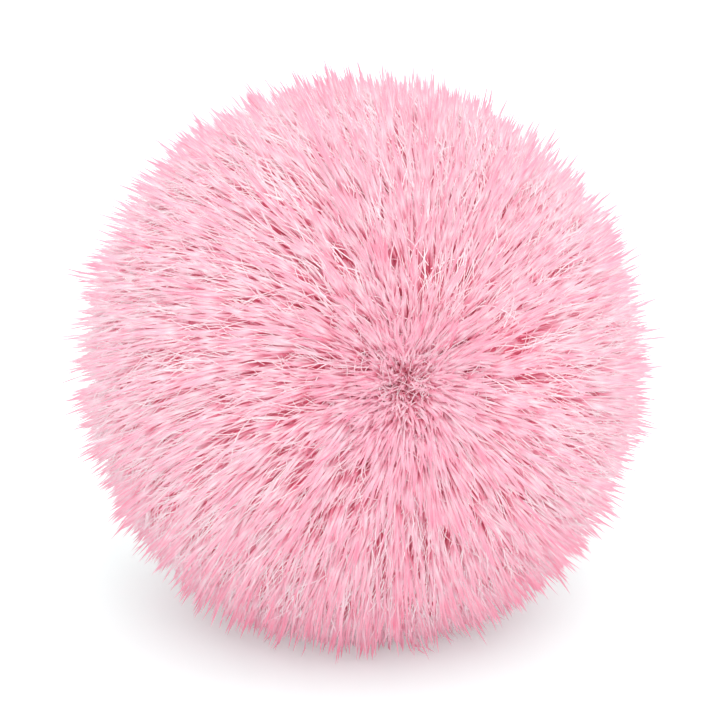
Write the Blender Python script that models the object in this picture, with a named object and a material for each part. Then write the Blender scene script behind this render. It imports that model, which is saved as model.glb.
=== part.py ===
"""Faux-fur pom pom: one closed solid of the fur ball's outer form, out to the tips of its pile.

Metres, +Z up. The origin is the middle of the flat spot that the ball's own weight presses into the
pile. The pile parts round a crown, which faces the front (-Y) a little above level, and its locks run
from there round to the back.
"""

from math import cos, exp, radians, sin

import bmesh
import bpy
from mathutils import Vector, noise

OBJECT = "fur_pom_pom"
NODE = "fur_ball"

BALL_RADIUS = 0.0543  # mean reach of the pile from the ball's middle
REST_HEIGHT = 0.0495  # of the ball's middle above what it lies on: the pile gives under it
REST_ROUNDING = 0.002  # either side of the flat spot's level, over which the side turns into it

CROWN_LIFT = radians(9)  # of the crown above level
CROWN_DEPTH = 0.0025  # how far the pile sinks where it parts
CROWN_SPREAD = radians(15)

LOCK_RELIEF = 0.0024  # how far a lock's ridge, or the gap beside it, lies from the mean surface, at most
LOCKS_ACROSS = 7.0  # how closely the locks follow each other round the ball
LOCKS_ALONG = 1.8  # and end to end, from the crown to the back
UNEVENNESS = 0.0012  # slow swell and fall of the whole ball
UNEVEN_SCALE = 1.4

SPHERE_SUBDIVISIONS = 5  # 5120 triangles, about 4 mm each
PINK = (0.95, 0.51, 0.63, 1.0)
PILE_ROUGHNESS = 0.9

CROWN = Vector((0, -cos(CROWN_LIFT), sin(CROWN_LIFT)))


def clear_scene():
    for leftover in list(bpy.data.objects):
        bpy.data.objects.remove(leftover)


def fur_material():
    material = bpy.data.materials.new("pink_fur")
    material.use_nodes = True
    shader = material.node_tree.nodes["Principled BSDF"]
    shader.inputs["Base Color"].default_value = PINK
    shader.inputs["Roughness"].default_value = PILE_ROUGHNESS
    shader.inputs["Metallic"].default_value = 0.0
    material.diffuse_color = PINK
    return material


def locks(direction):
    """Height of the locks of pile, -1 to 1: drawn out along the way from the crown to the back."""
    from_crown = CROWN.angle(direction)
    across = direction - CROWN * direction.dot(CROWN)
    return noise.noise(across * LOCKS_ACROSS + CROWN * (from_crown * LOCKS_ALONG))


def pile_reach(direction):
    """How far the pile reaches from the ball's middle along a unit direction."""
    parting = exp(-((CROWN.angle(direction) / CROWN_SPREAD) ** 2))
    swell = noise.noise(direction * UNEVEN_SCALE)
    return BALL_RADIUS + LOCK_RELIEF * locks(direction) + UNEVENNESS * swell - CROWN_DEPTH * parting


def settled(height):
    """A height above the resting surface, once what would reach below it has been pressed flat."""
    if height >= REST_ROUNDING:
        return height
    if height <= -REST_ROUNDING:
        return 0.0
    return (height + REST_ROUNDING) ** 2 / (4 * REST_ROUNDING)


def centre_on_origin(bm):
    """Moves the ball level, so that its box is centred over the origin."""
    for axis in (0, 1):
        places = [vertex.co[axis] for vertex in bm.verts]
        middle = (min(places) + max(places)) / 2
        for vertex in bm.verts:
            vertex.co[axis] -= middle


def fur_ball():
    bm = bmesh.new()
    bmesh.ops.create_icosphere(bm, subdivisions=SPHERE_SUBDIVISIONS, radius=1.0)
    for vertex in bm.verts:
        point = vertex.co.normalized() * pile_reach(vertex.co.normalized())
        vertex.co = Vector((point.x, point.y, settled(point.z + REST_HEIGHT)))
    centre_on_origin(bm)
    mesh = bpy.data.meshes.new(NODE)
    bm.to_mesh(mesh)
    bm.free()
    mesh.shade_smooth()
    mesh.materials.append(fur_material())
    return bpy.data.objects.new(NODE, mesh)


def main():
    clear_scene()
    collection = bpy.data.collections.new(OBJECT)
    bpy.context.scene.collection.children.link(collection)
    collection.objects.link(fur_ball())


main()
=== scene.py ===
"""Looks of the fur pom pom: a backing ball, and strands of pile that grow from it in locks.

Every strand is a narrow tapering ribbon. A strand is worked out from its tip: the tips are spread evenly over
the ball, and each root lies a little way back towards the crown, where the pile parts. Paler guard hairs lie
over the locks, and fine hairs curl at the crown. All of it is placed by rule, from one seed.
"""

from math import cos, pi, radians, sin

import bmesh
import bpy
import numpy as np
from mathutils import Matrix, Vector


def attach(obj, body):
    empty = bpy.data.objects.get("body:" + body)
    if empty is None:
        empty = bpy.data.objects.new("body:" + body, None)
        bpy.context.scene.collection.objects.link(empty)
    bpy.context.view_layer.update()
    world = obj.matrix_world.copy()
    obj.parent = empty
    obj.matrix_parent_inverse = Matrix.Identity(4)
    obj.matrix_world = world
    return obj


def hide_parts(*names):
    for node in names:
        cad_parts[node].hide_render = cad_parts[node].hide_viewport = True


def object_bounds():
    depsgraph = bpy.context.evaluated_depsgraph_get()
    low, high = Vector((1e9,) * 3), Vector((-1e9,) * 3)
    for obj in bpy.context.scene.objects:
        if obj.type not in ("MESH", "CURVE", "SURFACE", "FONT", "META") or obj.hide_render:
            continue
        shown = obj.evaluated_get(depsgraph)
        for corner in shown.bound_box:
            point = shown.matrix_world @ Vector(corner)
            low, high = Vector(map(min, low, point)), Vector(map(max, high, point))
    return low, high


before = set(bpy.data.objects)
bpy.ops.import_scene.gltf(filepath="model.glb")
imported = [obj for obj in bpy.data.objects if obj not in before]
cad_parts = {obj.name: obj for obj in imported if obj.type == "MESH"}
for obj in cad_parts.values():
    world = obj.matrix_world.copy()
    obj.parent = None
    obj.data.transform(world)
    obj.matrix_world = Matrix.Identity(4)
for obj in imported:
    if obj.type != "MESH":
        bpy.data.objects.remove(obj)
cad_low, cad_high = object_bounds()

# The ball, in metres, from the CAD solid's box.
TIP_REACH = (cad_high.x - cad_low.x) / 2
BALL_MIDDLE = np.array([0.0, 0.0, cad_high.z - TIP_REACH])
SURFACE_REACH = 0.899 * TIP_REACH  # where most of the pile ends
BACKING_REACH = 0.84 * TIP_REACH
ROOT_REACH = 0.66 * TIP_REACH
SQUEEZE = 0.978  # the pile is a little less wide than it is high
REST_LIFT, REST_SOFTNESS = 0.0004, 0.0022  # height of the pressed pile, and over what height it is pressed
REST_SPREAD, REST_ROUGHNESS = 0.5, 0.0006  # how far pressed pile moves out, and how uneven it is left
DOWN, LEFT = np.array([0.0, 0.0, -1.0]), np.array([-1.0, 0.0, 0.0])
SEED = 20

# The crown, where the pile parts and dips, and how the pile turns round it.
CROWN_LIFT = radians(9)
CROWN = np.array([0.0, -cos(CROWN_LIFT), sin(CROWN_LIFT)])
CROWN_DIP, CROWN_DIP_WIDTH = 0.0021, radians(11)
PARTING_WIDTH = radians(24)  # from the crown, over which the pile comes to lean
TANGLE_WIDTH = radians(13)  # over which it is tangled
SWIRL_START, SWIRL_RATE = radians(23), 0.36
SIDE = radians(75)  # from the crown: past this the swirl and the sag grow no further
SIDE_START, SIDE_END = radians(40), radians(85)  # between these the pile comes to stand up straighter
SAG, SAG_GAIN = 0.12, 0.13  # of the lie: how far it hangs down, and how much more with each square radian
DRIFT, DRIFT_LOSS = 0.19, 0.10  # how far it runs to one side, and how much less with each square radian

# Locks of pile, each of a few wisps of strands.
LOCKS = 4150
CROWN_LOCKS = 450
WISPS_PER_LOCK = 4
STRANDS_PER_WISP = 8
STRANDS_PER_LOCK = WISPS_PER_LOCK * STRANDS_PER_WISP
LOCK_HALF_WIDTH, LOCK_RIDGE = 0.00125, 0.0009
LOCK_JITTER = 0.35  # of the way between two locks
LOCK_REACH_SPREAD = 0.014  # as a share of the reach
CROWN_LOCKS_WIDTH, CROWN_LOCKS_SHORT = radians(8), 0.0022  # how far from the crown they spread, and how low
SLOW_TURN, LOCK_TURN = radians(5), radians(6.5)  # how far the lie turns over the ball and from lock to lock
CROWN_TURN, CROWN_TURN_WIDTH = 0.6, radians(8)  # and more from lock to lock at the crown
ROOT_BACK = radians(27)  # how far a strand leans: its root lies this far back towards the crown
SIDE_STRAIGHTER = 0.45  # of that lean, what the pile loses at the sides
BACK_START, BACK_STRAIGHTER = radians(105), 0.75  # from here to the back it loses this much more
PILE_PIECES = ("pile_crown", "pile_front", "pile_side", "pile_rear", "pile_back")

# One strand. Its bend lies a share of the way up from its root, and a share of the way back from its tip.
BEND_UP, BEND_UP_AT_CROWN, BEND_UP_AT_SIDE = 0.69, 0.25, -0.12
BEND_BACK, BEND_BACK_AT_CROWN = 0.62, 0.26
LENGTH, WISP_LENGTH_SPREAD, STRAND_SHORTER = 1.01, 0.025, 0.16  # of its curve
LEAN_SPREAD = 0.05
WISP_ASIDE, STRAND_ASIDE = 0.85, 0.22  # of the lock's half width
LOCK_CLOSES, WISP_CLOSES, RIDGE_FADES = 0.4, 0.15, 0.75  # towards the tips
RIDGE_MEAN, STRAND_DEPTH = 0.6, 0.35  # of the ridge's height
LOCK_ROLL, STRAND_ROLL = 0.38, 0.16  # radians: outwards at a lock's sides, and at random
STRAND_ROWS = np.array([0.34, 0.62, 0.91, 1.0])  # of the strand's length, where its rows of points lie
STRAND_TAPER = np.array([0.9, 1.0, 0.82, 0.0])  # of its width at each of them
STRAND_WIDTH, LOOSE_WIDTH = 0.00032, 1.25  # metres, and how many times wider a loose strand is
LOOSE_SHARE = 0.42  # of the strands, those whose tips stand away from the others
LOOSE_LIFT, LOOSE_ASIDE = 0.0069, 0.0011
WISP_BOW, STRAND_BOW, STRAND_RIPPLE = 0.00030, 0.00028, 0.00010  # metres
WISP_CURL, STRAND_CURL = 0.0016, 0.0009  # metres, at the crown only

# How pale a strand is, from 0 in a gap to 1 on a ridge: painted shade in the gaps between locks and painted
# light on their ridges, with tone that differs at random besides.
TONE_IN_GAP, TONE_ON_RIDGE = 0.33, 0.36
# EDGE_TONE: one edge of a ribbon paler than the other, at random, partly painted shade that rounds the ribbon
LOCK_TONE, WISP_TONE, STRAND_TONE, EDGE_TONE = 0.05, 0.05, 0.19, 0.09  # how far each differs from the next
# painted shade in the crown's parting: tone rises away from the crown
TONE_AWAY, TONE_AWAY_START, TONE_AWAY_END = 0.12, radians(8), radians(48)  # paler away from the crown
# painted shade: the pile is deeper at the crown and on its underside
PAINTED_SHADE_AT_CROWN, PAINTED_SHADE_BELOW = 0.02, 0.34  # deeper at the crown, and on the underside
HAIR_TONE, CURL_TONE, HAIR_TONE_SPREAD = 0.86, 0.84, 0.10
TONE_LIMITS = (0.02, 0.98)

# Guard hairs all over the pile, and curls at the crown. A step is from one point of a hair to the next.
GUARD_HAIRS, GUARD_ROWS, GUARD_WIDTH = 18000, 7, 0.00019
GUARD_JITTER = 0.9  # of the way between two hairs
GUARD_STEP, GUARD_SHORTER_AT_CROWN, GUARD_SHORTER_AT_BACK = (0.0011, 0.0020), 0.5, 0.7
GUARD_LOW = (-0.0004, 0.0008)  # where a hair starts, over the pile's surface
GUARD_RISE, GUARD_RISE_MORE = 0.0006, 0.0034  # how far it ends over that, at least, and how much more at most
GUARD_LOOSE_WIDTH = radians(26)  # from the crown, where guard hairs are looser and shorter
GUARD_TURN, GUARD_TURN_AT_CROWN = radians(15), radians(8)
GUARD_WANDER, GUARD_WANDER_AT_CROWN = radians(3.5), radians(4)
BACK_HAIRS_START, BACK_HAIRS_END = radians(120), radians(165)  # between these they grow shorter to the back
CURLS, CURL_ROWS, CURL_WIDTH = 330, 13, 0.00016
CURLS_SPREAD, CURLS_WILD_WIDTH = radians(8), radians(12)
CURL_STEP, CURL_LOW, CURL_RISE = (0.0004, 0.0008), (-0.0006, 0.0012), (0.0005, 0.0020)
CURL_TURN, CURL_TURN_AT_CROWN = radians(25), radians(70)
CURL_WANDER, CURL_WANDER_AT_CROWN = radians(6), radians(10)
WIDTH_SPREAD = 0.25  # how far a strand or hair is narrower or wider than the next
HAIR_TIP_WIDTH = 0.55  # of its width, what a hair has left before its last point
HAIR_ROLL = 0.25
BEND_KEPT = 0.8  # of a hair's bend at one point, what it keeps at the next

# Growth is 0 deep in the pile, SURFACE_GROWTH at its surface and 1 where tips stand out of it. The colour
# follows it as painted shade deep in the pile.
SURFACE_GROWTH = 0.8
PILE_DEPTH = 0.0042
STANDING_OUT, STANDING_RANGE = 0.0010, 0.0026
TIP_GROWTH = 0.1  # more at each tip

# Where a ribbon lies in its colour map: growth along it, tone up it.
MAP_MARGIN, MAP_HALF_WIDTH = 0.02, 0.003

# Colours: deep ones low in the pile, as painted shade, and pale ones at its surface, each from a gap to a
# lock's ridge.
DEEP_PINKS = ((0.0, (251, 146, 176)), (1.0, (254, 186, 208)))
PALE_PINKS = (
    (0.0, (253, 191, 211)),
    (0.45, (254, 230, 239)),
    (0.80, (255, 245, 249)),
    (1.0, (255, 252, 253)),
)
# painted shade: the deep pinks show low in the pile and the pale ones at its surface; the deeper tips are
# their own colour
PALE_ABOVE_PAINTED_SHADE = (  # how much of the pale one shows, as a grey: less again where tips stand out
    (0.46, (0, 0, 0)),
    (0.79, (255, 255, 255)),
    (0.82, (255, 255, 255)),
    (1.0, (145, 145, 145)),
)
BACKING_PINKS = ((0.35, (255, 186, 208)), (0.62, (255, 210, 225)))
BACKING_FUZZ_SCALE, BACKING_ROUGHNESS = 900, 0.9

# Camera, lights, floor.
CAMERA_AZIMUTH, CAMERA_ELEVATION = radians(-9.8), radians(15)
CAMERA_DISTANCE, CAMERA_LENS = 0.377, 100
CAMERA_SHIFT = (-0.0027, 0.006)
WORLD_LIGHT = 0.72
LIGHTS = (
    # name, kind, energy, place
    ("overhead", "SUN", 1.58, (0.05, -0.38, 1.0)),
    ("front", "AREA", 3.3, (-0.12, -0.93, 0.50)),
    ("rear", "AREA", 1.3, (0.30, 0.93, 0.50)),
)
SUN_ANGLE, DISK_SIZE = radians(70), 0.9
FLOOR_HALF_SIZE = 6.0
FLOOR_COLOUR, FLOOR_ROUGHNESS, FLOOR_GLOW = (0.72, 0.81, 0.80, 1), 0.9, 0.25


# Directions and shapes over the ball


def unit(vectors):
    return vectors / np.maximum(np.linalg.norm(vectors, axis=-1, keepdims=True), 1e-12)


def smooth_step(low, high, value):
    share = np.clip((value - low) / (high - low), 0, 1)
    return share * share * (3 - 2 * share)


def around(angle, width):
    """1 at the crown, and less away from it on a bell curve."""
    return np.exp(-((angle / width) ** 2))


def spread_directions(count, rng, jitter):
    """Unit vectors spread evenly over a sphere on a golden spiral, each moved a little at random."""
    turn = np.arange(count) * pi * (3 - 5**0.5)
    height = 1 - (2 * np.arange(count) + 1) / count
    level = np.sqrt(1 - height**2)
    found = np.stack([level * np.cos(turn), level * np.sin(turn), height], 1)
    return unit(found + rng.normal(0, jitter * np.sqrt(4 * pi / count), (count, 3)))


def slow_noise(directions, rng, waves=10, scale=3.0):
    """A smooth random field over the ball, about -1 to 1."""
    total = np.zeros(len(directions))
    for _ in range(waves):
        wave = rng.normal(0, scale, 3)
        total += np.sin(directions @ wave + rng.uniform(0, 2 * pi))
    return total / np.sqrt(waves / 2) / 1.5


def polar(directions):
    """Angle from the crown."""
    return np.arccos(np.clip(directions @ CROWN, -1, 1))


def crown_dip(angle):
    return CROWN_DIP * around(angle, CROWN_DIP_WIDTH)


def swirl(angle):
    return SWIRL_RATE * (np.minimum(angle, SIDE) - SWIRL_START)


def flow(directions, turn):
    """Unit tangents along which the pile lies: away from the crown, turned by an angle, with some sag."""
    away = unit(directions * (directions @ CROWN)[:, None] - CROWN)
    aside = np.cross(directions, away)
    lie = away * np.cos(turn)[:, None] + aside * np.sin(turn)[:, None]
    bent = np.minimum(polar(directions), SIDE)[:, None] ** 2
    sag = (SAG + SAG_GAIN * bent) * DOWN + (DRIFT - DRIFT_LOSS * bent) * LEFT
    sag -= directions * np.sum(directions * sag, 1)[:, None]
    return unit(lie + sag)


def settle(points):
    """Presses what would reach below the surface that the ball rests on flat against it."""
    points[..., :2] *= SQUEEZE
    height = points[..., 2] - REST_LIFT
    turning = (height + REST_SOFTNESS) ** 2 / (4 * REST_SOFTNESS)
    held = np.where(height > REST_SOFTNESS, height, np.where(height < -REST_SOFTNESS, 0, turning))
    pressed = held - height
    out = unit(points[..., :2] - BALL_MIDDLE[:2])
    points[..., :2] += out * (REST_SPREAD * pressed)[..., None]
    uneven = REST_ROUGHNESS * np.sin(1e4 * points[..., 0]) ** 2
    points[..., 2] = held + REST_LIFT + uneven * (pressed > 0)
    return points


# The pile


def lock_guides(rng):
    """Tip direction, lie, lean back and reach of each lock's middle line."""
    filling = unit(CROWN + rng.normal(0, CROWN_LOCKS_WIDTH, (CROWN_LOCKS, 3)))
    tips = np.concatenate([spread_directions(LOCKS, rng, LOCK_JITTER), filling])
    angle = polar(tips)
    turn = swirl(angle) + SLOW_TURN * slow_noise(tips, rng) + rng.normal(0, LOCK_TURN, len(tips))
    turn += rng.normal(0, CROWN_TURN, len(tips)) * around(angle, CROWN_TURN_WIDTH)
    lie = flow(tips, turn)
    back = ROOT_BACK * (1 - np.exp(-angle / PARTING_WIDTH))
    back *= 1 - BACK_STRAIGHTER * smooth_step(BACK_START, pi, angle)
    back *= 1 - SIDE_STRAIGHTER * smooth_step(SIDE_START, SIDE_END, angle)
    back = np.minimum(back * rng.uniform(0.8, 1.2, len(tips)), 0.9 * angle)
    reach = SURFACE_REACH * (1 + LOCK_REACH_SPREAD * rng.normal(0, 1, len(tips)))
    reach -= crown_dip(angle)
    reach[LOCKS:] -= rng.uniform(0.0, CROWN_LOCKS_SHORT, CROWN_LOCKS)
    return tips, lie, back, reach


def strand_arcs(up, along, lean, far, t):
    """Points on each strand's curve, which leaves the root leaning and ends in the tip's direction."""

    def towards(share, height):
        """A point over the line from the tip's direction back to the root's."""
        direction = up * np.cos(share * lean)[:, None] - along * np.sin(share * lean)[:, None]
        return (direction * height[:, None])[:, None]

    near = around(polar(up), PARTING_WIDTH)
    aside = smooth_step(SIDE_START, SIDE_END, polar(up))
    rise = BEND_UP + BEND_UP_AT_CROWN * near + BEND_UP_AT_SIDE * aside
    root = towards(1.0, np.full(len(up), ROOT_REACH))
    bend = towards(BEND_BACK + BEND_BACK_AT_CROWN * near, ROOT_REACH + rise * (far - ROOT_REACH))
    tip = towards(0.0, far)
    return root * (1 - t) ** 2 + bend * 2 * t * (1 - t) + tip * t**2


def bow_strands(points, t, of_wisp, rng):
    """Bows each wisp and each strand of it to one side and back."""
    wisps, strands = of_wisp[-1] + 1, len(points)
    points += rng.normal(0, WISP_BOW, (wisps, 3))[of_wisp][:, None] * np.sin(pi * t)
    points += rng.normal(0, STRAND_BOW, (strands, 3))[:, None] * np.sin(pi * t)
    phase = rng.uniform(0, 6, strands)[:, None, None]
    points += rng.normal(0, STRAND_RIPPLE, (strands, 3))[:, None] * np.sin(3 * pi * t + phase)


def curl_crown(points, t, up, at_crown, of_wisp, rng):
    """Throws the strands' upper ends about where the pile parts."""
    wisps, strands = of_wisp[-1] + 1, len(points)
    curl = rng.normal(0, WISP_CURL, (wisps, 3))[of_wisp] + rng.normal(0, STRAND_CURL, (strands, 3))
    curl -= up * np.sum(curl * up, 1)[:, None]
    points += (curl * at_crown[:, None])[:, None] * t**2


def loosen_tips(points, t, up, across, at_crown, rng):
    """Lets some tips stand away from the others, and says which."""
    strands = len(points)
    loose = rng.random(strands) < LOOSE_SHARE * (1 - 0.9 * at_crown)
    stray = loose[:, None, None] * t**3
    points += up[:, None] * (LOOSE_LIFT * rng.random(strands))[:, None, None] * stray
    points += across[:, None] * rng.normal(0, LOOSE_ASIDE, strands)[:, None, None] * stray
    return loose


def strand_tones(ridge, up, at_crown, of_lock, of_wisp, rng):
    """How pale each strand is, 0 to 1: random tone, with painted light on a lock's ridge and painted shade
    between locks, at the crown and under the ball.
    """
    locks, wisps, strands = of_lock[-1] + 1, of_wisp[-1] + 1, len(ridge)
    # painted shade in the gaps between locks and painted light on their ridges, then random tone by lock,
    # wisp and strand
    tone = TONE_IN_GAP + TONE_ON_RIDGE * ridge + LOCK_TONE * rng.normal(0, 1, locks)[of_lock]
    tone += WISP_TONE * rng.normal(0, 1, wisps)[of_wisp] + STRAND_TONE * rng.normal(0, 1, strands)
    # painted shade: paler away from the crown, deeper in its parting
    tone += TONE_AWAY * smooth_step(TONE_AWAY_START, TONE_AWAY_END, polar(up)) - PAINTED_SHADE_AT_CROWN * at_crown
    # painted shade: deeper on the underside
    tone -= PAINTED_SHADE_BELOW * smooth_step(0.0, 0.9, -up[:, 2])
    return np.clip(tone, *TONE_LIMITS)


def strand_paths(rng):
    """Points of every strand, (strand, row, xyz), with its roll, tone, width and its lock's polar angle."""
    tips, lie, back, reach = lock_guides(rng)
    wisps = len(tips) * WISPS_PER_LOCK
    strands = wisps * STRANDS_PER_WISP
    of_lock = np.repeat(np.arange(len(tips)), STRANDS_PER_LOCK)
    of_wisp = np.repeat(np.arange(wisps), STRANDS_PER_WISP)
    up, along = tips[of_lock], lie[of_lock]
    across = np.cross(up, along)

    ends = LENGTH + rng.normal(0, WISP_LENGTH_SPREAD, wisps)[of_wisp]
    ends -= STRAND_SHORTER * rng.random(strands) ** 1.6
    t = (STRAND_ROWS[None, :] * ends[:, None])[:, :, None]
    lean = back[of_lock] * (1 + rng.normal(0, LEAN_SPREAD, strands))
    points = strand_arcs(up, along, lean, reach[of_lock], t)

    in_lock = rng.uniform(-WISP_ASIDE, WISP_ASIDE, wisps)[of_wisp]
    in_wisp = rng.normal(0, STRAND_ASIDE, strands)
    offset = in_lock + in_wisp
    ridge = 1 - np.clip(offset, -1.2, 1.2) ** 2
    sideways = in_lock[:, None, None] * (1 - LOCK_CLOSES * t**2)
    sideways = sideways + in_wisp[:, None, None] * (1 - WISP_CLOSES * t**2)
    points += across[:, None] * LOCK_HALF_WIDTH * sideways
    depth = (ridge - RIDGE_MEAN + STRAND_DEPTH * rng.normal(0, 1, strands))[:, None, None]
    points += up[:, None] * LOCK_RIDGE * depth * (1 - RIDGE_FADES * t**2)

    at_crown = around(polar(up), TANGLE_WIDTH)
    bow_strands(points, t, of_wisp, rng)
    curl_crown(points, t, up, at_crown, of_wisp, rng)
    loose = loosen_tips(points, t, up, across, at_crown, rng)
    points += BALL_MIDDLE

    roll = LOCK_ROLL * np.clip(offset, -1, 1) + rng.normal(0, STRAND_ROLL, strands)
    tone = strand_tones(ridge, up, at_crown, of_lock, of_wisp, rng)
    width = STRAND_WIDTH * np.where(loose, LOOSE_WIDTH, 1.0)
    return settle(points), roll, tone, width, polar(tips)[of_lock]


# Loose hairs


def hair_paths(rng, start, rows, step, low, high, turn, wander):
    """Points and roll of loose hairs over the locks, each of which rises a little as it follows the lie."""
    count = len(start)
    lie = flow(start, swirl(polar(start)) + rng.normal(0, 1, count) * turn)
    dip = crown_dip(polar(start))
    place, found = start, []
    bend = rng.normal(0, 1, count) * wander * 0.5
    for row in range(rows):
        share = row / (rows - 1)
        height = SURFACE_REACH - dip + low + (high - low) * share**1.5
        found.append(place * height[:, None])
        place = unit(place + lie * (step / SURFACE_REACH)[:, None])
        lie = unit(lie - place * np.sum(lie * place, 1)[:, None])
        bend = BEND_KEPT * bend + rng.normal(0, 1, count) * wander
        lie = lie * np.cos(bend)[:, None] + np.cross(place, lie) * np.sin(bend)[:, None]
    return settle(np.stack(found, 1) + BALL_MIDDLE), rng.normal(0, HAIR_ROLL, count)


def guard_hairs(rng):
    """Pale hairs all over the ball, shorter near the crown and at the back."""
    start = spread_directions(GUARD_HAIRS, rng, GUARD_JITTER)
    loose = around(polar(start), GUARD_LOOSE_WIDTH)
    step = rng.uniform(*GUARD_STEP, GUARD_HAIRS) * (1 - GUARD_SHORTER_AT_CROWN * loose)
    step *= 1 - GUARD_SHORTER_AT_BACK * smooth_step(BACK_HAIRS_START, BACK_HAIRS_END, polar(start))
    low = rng.uniform(*GUARD_LOW, GUARD_HAIRS)
    high = low + GUARD_RISE + GUARD_RISE_MORE * rng.random(GUARD_HAIRS) ** 1.3
    turn = GUARD_TURN + GUARD_TURN_AT_CROWN * loose
    wander = GUARD_WANDER + GUARD_WANDER_AT_CROWN * loose
    points, roll = hair_paths(rng, start, GUARD_ROWS, step, low, high, turn, wander)
    return points, roll, np.clip(rng.normal(HAIR_TONE, HAIR_TONE_SPREAD, GUARD_HAIRS), *TONE_LIMITS)


def crown_curls(rng):
    """Fine hairs that curl over the crown in all directions."""
    start = unit(CROWN + rng.normal(0, CURLS_SPREAD, (CURLS, 3)))
    wild = around(polar(start), CURLS_WILD_WIDTH)
    step = rng.uniform(*CURL_STEP, CURLS)
    low = rng.uniform(*CURL_LOW, CURLS)
    high = low + rng.uniform(*CURL_RISE, CURLS)
    turn = CURL_TURN + CURL_TURN_AT_CROWN * wild
    wander = CURL_WANDER + CURL_WANDER_AT_CROWN * wild
    points, roll = hair_paths(rng, start, CURL_ROWS, step, low, high, turn, wander)
    return points, roll, np.clip(rng.normal(CURL_TONE, HAIR_TONE_SPREAD, CURLS), *TONE_LIMITS)


# Meshes


def growth(points):
    """How far out each point lies, from 0 deep in the pile to 1 where tips stand out of it."""
    away = points - BALL_MIDDLE
    height = np.linalg.norm(away, axis=-1) - SURFACE_REACH + 0.7 * crown_dip(polar(unit(away)))
    below = np.clip(1 + height / PILE_DEPTH, 0, 1)
    above = np.clip((height - STANDING_OUT) / STANDING_RANGE, 0, 1)
    return SURFACE_GROWTH * below + (1 - SURFACE_GROWTH) * above


def rungs(left_rows, right_rows, end):
    """Left and right values of every row but the last in turn, and then the one at the tip."""
    strands = len(end)
    pairs = np.stack([left_rows[:, :-1], right_rows[:, :-1]], 2).reshape(strands, -1, end.shape[-1])
    return np.concatenate([pairs, end[:, -1:]], 1)


def ribbon_corners(points, roll, width, taper, rng):
    """Corners of a tapering ribbon along each strand of points, facing outwards but for its roll."""
    tangent = unit(np.gradient(points, axis=1))
    side = unit(np.cross(unit(points - BALL_MIDDLE), tangent))
    face = np.cross(tangent, side)
    roll = roll[:, None, None]
    side = side * np.cos(roll) + face * np.sin(roll)
    width = width * rng.uniform(1 - WIDTH_SPREAD, 1 + WIDTH_SPREAD, len(points))
    half = 0.5 * width[:, None, None] * taper[None, :, None]
    return rungs(points + side * half, points - side * half, points)


def ribbon_mesh(name, corners, rows):
    """One mesh of all the ribbons, and the corner that each of its loops uses."""
    strands, per_strand = corners.shape[:2]
    quads = [[2 * i, 2 * i + 1, 2 * i + 3, 2 * i + 2] for i in range(rows - 2)]
    one = np.concatenate([np.ravel(quads), [per_strand - 3, per_strand - 2, per_strand - 1]])
    loops = (one[None] + (np.arange(strands) * per_strand)[:, None]).ravel()
    counts = np.tile(np.array([4] * (rows - 2) + [3]), strands)
    starts = np.concatenate([[0], np.cumsum(counts)[:-1]])

    mesh = bpy.data.meshes.new(name)
    mesh.vertices.add(strands * per_strand)
    mesh.vertices.foreach_set("co", corners.astype(np.float32).ravel())
    mesh.loops.add(len(loops))
    mesh.loops.foreach_set("vertex_index", loops.astype(np.int32))
    mesh.polygons.add(len(counts))
    mesh.polygons.foreach_set("loop_start", starts.astype(np.int32))
    mesh.polygons.foreach_set("use_smooth", np.ones(len(counts), bool))
    return mesh, loops


def colour_ribbons(mesh, loops, points, tone, rng):
    """Writes growth and tone on the mesh, as attributes and as the places in its map, a little apart."""
    strands, rows = points.shape[:2]
    # painted shade: how far out a point lies sets how deep its pink is
    grown = growth(points)
    grown[:, -1] = np.minimum(grown[:, -1] + TIP_GROWTH, 1)
    run = rungs(grown[..., None], grown[..., None], grown[..., None]).ravel()
    # one edge paler than the other, at random: partly painted shade, to round the ribbon
    tilt = rng.normal(0, EDGE_TONE, strands)[:, None, None]
    both = np.repeat(tone[:, None], rows, 1)[..., None]
    tones = np.clip(rungs(both + tilt, both - tilt, both), *TONE_LIMITS).ravel()
    for label, values in (("along", run), ("shade", tones)):
        mesh.attributes.new(label, "FLOAT", "POINT").data.foreach_set("value", values.astype(np.float32))
    sides = np.tile(np.append(np.tile([-1.0, 1.0], rows - 1), 0.0), strands)
    span = 1 - 2 * MAP_MARGIN
    place = np.stack([MAP_MARGIN + span * run, MAP_MARGIN + span * tones + MAP_HALF_WIDTH * sides], 1)
    baked = mesh.uv_layers.new(name="OFBake", do_init=False)
    baked.uv.foreach_set("vector", place[loops].astype(np.float32).ravel())


def ribbons(name, points, roll, tone, width, taper, material, rng):
    """One piece with a ribbon along each strand of points."""
    corners = ribbon_corners(points, roll, width, taper, rng)
    mesh, loops = ribbon_mesh(name, corners, points.shape[1])
    colour_ribbons(mesh, loops, points, tone, rng)
    mesh.update(calc_edges=True)
    mesh.materials.append(material)
    piece = bpy.data.objects.new(name, mesh)
    bpy.context.scene.collection.objects.link(piece)
    return piece


def backing_ball():
    """The ball under the pile, which shows only as colour between the locks."""
    bm = bmesh.new()
    bmesh.ops.create_icosphere(bm, subdivisions=5, radius=1.0)
    for vertex in bm.verts:
        way = np.array(vertex.co.normalized())
        vertex.co = Vector(way * (BACKING_REACH - crown_dip(polar(way))) + BALL_MIDDLE)
    mesh = bpy.data.meshes.new("backing")
    bm.to_mesh(mesh)
    bm.free()
    mesh.shade_smooth()
    mesh.materials.append(backing_material())
    piece = bpy.data.objects.new("backing", mesh)
    bpy.context.scene.collection.objects.link(piece)
    return piece


# Materials


def srgb(r, g, b):
    """A colour given as 0 to 255 in sRGB, as linear RGBA."""
    return (*[(c / 255 / 12.92 if c <= 10 else ((c / 255 + 0.055) / 1.055) ** 2.4) for c in (r, g, b)], 1)


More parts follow.
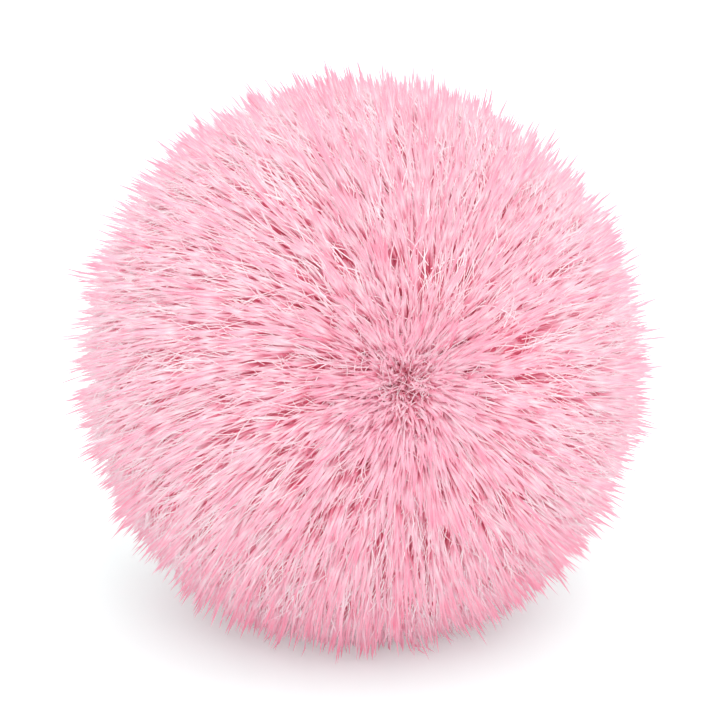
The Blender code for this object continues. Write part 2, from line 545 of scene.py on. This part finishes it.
def ramp(nodes, stops):
    node = nodes.new("ShaderNodeValToRGB")
    while len(node.color_ramp.elements) < len(stops):
        node.color_ramp.elements.new(0.5)
    for element, (place, colour) in zip(node.color_ramp.elements, stops):
        element.position = place
        element.color = srgb(*colour)
    return node


def attribute_ramp(nodes, links, attribute, stops):
    """A colour ramp that reads one of the ribbons' attributes."""
    read = nodes.new("ShaderNodeAttribute")
    read.attribute_name = attribute
    colours = ramp(nodes, stops)
    links.new(read.outputs["Fac"], colours.inputs["Fac"])
    return colours.outputs["Color"]


def fur_material(name, roughness, specular, through):
    """Pinks by growth and tone, deep ones as painted shade low in the pile, on a surface that lets a share of
    the light through.
    """
    material = bpy.data.materials.new(name)
    material.use_nodes = True
    nodes, links = material.node_tree.nodes, material.node_tree.links
    colour = nodes.new("ShaderNodeMix")
    colour.data_type = "RGBA"
    # painted shade: the deep pinks low in the pile, the pale ones at its surface
    links.new(attribute_ramp(nodes, links, "along", PALE_ABOVE_PAINTED_SHADE), colour.inputs["Factor"])
    links.new(attribute_ramp(nodes, links, "shade", DEEP_PINKS), colour.inputs[6])
    links.new(attribute_ramp(nodes, links, "shade", PALE_PINKS), colour.inputs[7])

    surface = nodes["Principled BSDF"]
    surface.inputs["Roughness"].default_value = roughness
    surface.inputs["Specular IOR Level"].default_value = specular
    glow = nodes.new("ShaderNodeBsdfTranslucent")
    both = nodes.new("ShaderNodeMixShader")
    both.inputs["Fac"].default_value = through
    links.new(colour.outputs[2], surface.inputs["Base Color"])
    links.new(colour.outputs[2], glow.inputs["Color"])
    links.new(surface.outputs[0], both.inputs[1])
    links.new(glow.outputs[0], both.inputs[2])
    links.new(both.outputs[0], nodes["Material Output"].inputs["Surface"])
    return material


def backing_material():
    """Pink that varies from place to place, like short fuzz."""
    material = bpy.data.materials.new("backing_knit")
    material.use_nodes = True
    nodes, links = material.node_tree.nodes, material.node_tree.links
    place = nodes.new("ShaderNodeTexCoord")
    fuzz = nodes.new("ShaderNodeTexNoise")
    fuzz.inputs["Scale"].default_value = BACKING_FUZZ_SCALE
    fuzz.inputs["Detail"].default_value = 3
    colours = ramp(nodes, BACKING_PINKS)
    links.new(place.outputs["Object"], fuzz.inputs["Vector"])
    links.new(fuzz.outputs["Fac"], colours.inputs["Fac"])
    links.new(colours.outputs["Color"], nodes["Principled BSDF"].inputs["Base Color"])
    nodes["Principled BSDF"].inputs["Roughness"].default_value = BACKING_ROUGHNESS
    return material


def build_fur():
    """Every piece of pile and hair, the pile in bands from the crown to the back."""
    rng = np.random.default_rng(SEED)
    pile = fur_material("pink_pile", roughness=0.8, specular=0.0, through=0.62)
    hair = fur_material("pale_hair", roughness=0.6, specular=0.15, through=0.25)

    points, roll, tone, width, lock_angle = strand_paths(rng)
    made = []
    bands = np.array_split(np.argsort(lock_angle, kind="stable"), len(PILE_PIECES))
    for name, band in zip(PILE_PIECES, bands):
        made.append(ribbons(name, points[band], roll[band], tone[band], width[band], STRAND_TAPER, pile, rng))

    guards, curls = guard_hairs(rng), crown_curls(rng)
    for name, (points, roll, tone), width in (
        ("guard_hairs", guards, GUARD_WIDTH),
        ("crown_curls", curls, CURL_WIDTH),
    ):
        thin = np.append(np.linspace(1.0, HAIR_TIP_WIDTH, points.shape[1] - 1), 0.0)
        made.append(ribbons(name, points, roll, tone, width, thin, hair, rng))
    return made


# Studio


def add_camera(scene):
    level = cos(CAMERA_ELEVATION)
    back = Vector((sin(CAMERA_AZIMUTH) * level, -cos(CAMERA_AZIMUTH) * level, sin(CAMERA_ELEVATION)))
    camera = bpy.data.objects.new("camera", bpy.data.cameras.new("camera"))
    camera.data.lens = CAMERA_LENS
    camera.data.shift_x, camera.data.shift_y = CAMERA_SHIFT
    camera.data.clip_start = 0.01
    camera.location = Vector(BALL_MIDDLE) + back * CAMERA_DISTANCE
    camera.rotation_euler = (-back).to_track_quat("-Z", "Y").to_euler()
    scene.collection.objects.link(camera)
    scene.camera = camera


def add_lights(scene):
    world = bpy.data.worlds.new("studio")
    world.use_nodes = True
    world.node_tree.nodes["Background"].inputs["Color"].default_value = (1, 1, 1, 1)
    world.node_tree.nodes["Background"].inputs["Strength"].default_value = WORLD_LIGHT
    scene.world = world
    for name, kind, energy, place in LIGHTS:
        light = bpy.data.lights.new(name, kind)
        light.energy = energy
        if kind == "SUN":
            light.angle = SUN_ANGLE
        else:
            light.shape = "DISK"
            light.size = DISK_SIZE
        lamp = bpy.data.objects.new(name, light)
        lamp.location = place
        lamp.rotation_euler = (Vector(place) - Vector(BALL_MIDDLE)).to_track_quat("Z", "Y").to_euler()
        scene.collection.objects.link(lamp)


def add_floor(scene):
    mesh = bpy.data.meshes.new("floor")
    s = FLOOR_HALF_SIZE
    mesh.from_pydata([(-s, -s, 0), (s, -s, 0), (s, s, 0), (-s, s, 0)], [], [(0, 1, 2, 3)])
    material = bpy.data.materials.new("floor")
    material.use_nodes = True
    shader = material.node_tree.nodes["Principled BSDF"]
    shader.inputs["Base Color"].default_value = FLOOR_COLOUR
    shader.inputs["Roughness"].default_value = FLOOR_ROUGHNESS
    shader.inputs["Emission Color"].default_value = (1, 1, 1, 1)
    shader.inputs["Emission Strength"].default_value = FLOOR_GLOW
    mesh.materials.append(material)
    floor = bpy.data.objects.new("floor", mesh)
    scene.collection.objects.link(floor)


def build_studio():
    scene = bpy.context.scene
    scene.view_settings.view_transform = "Standard"
    add_camera(scene)
    add_lights(scene)
    add_floor(scene)


build_studio()
backing = backing_ball()
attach(backing, "root")
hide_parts("fur_ball")
for piece in build_fur():
    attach(piece, "root")
    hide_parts("fur_ball")
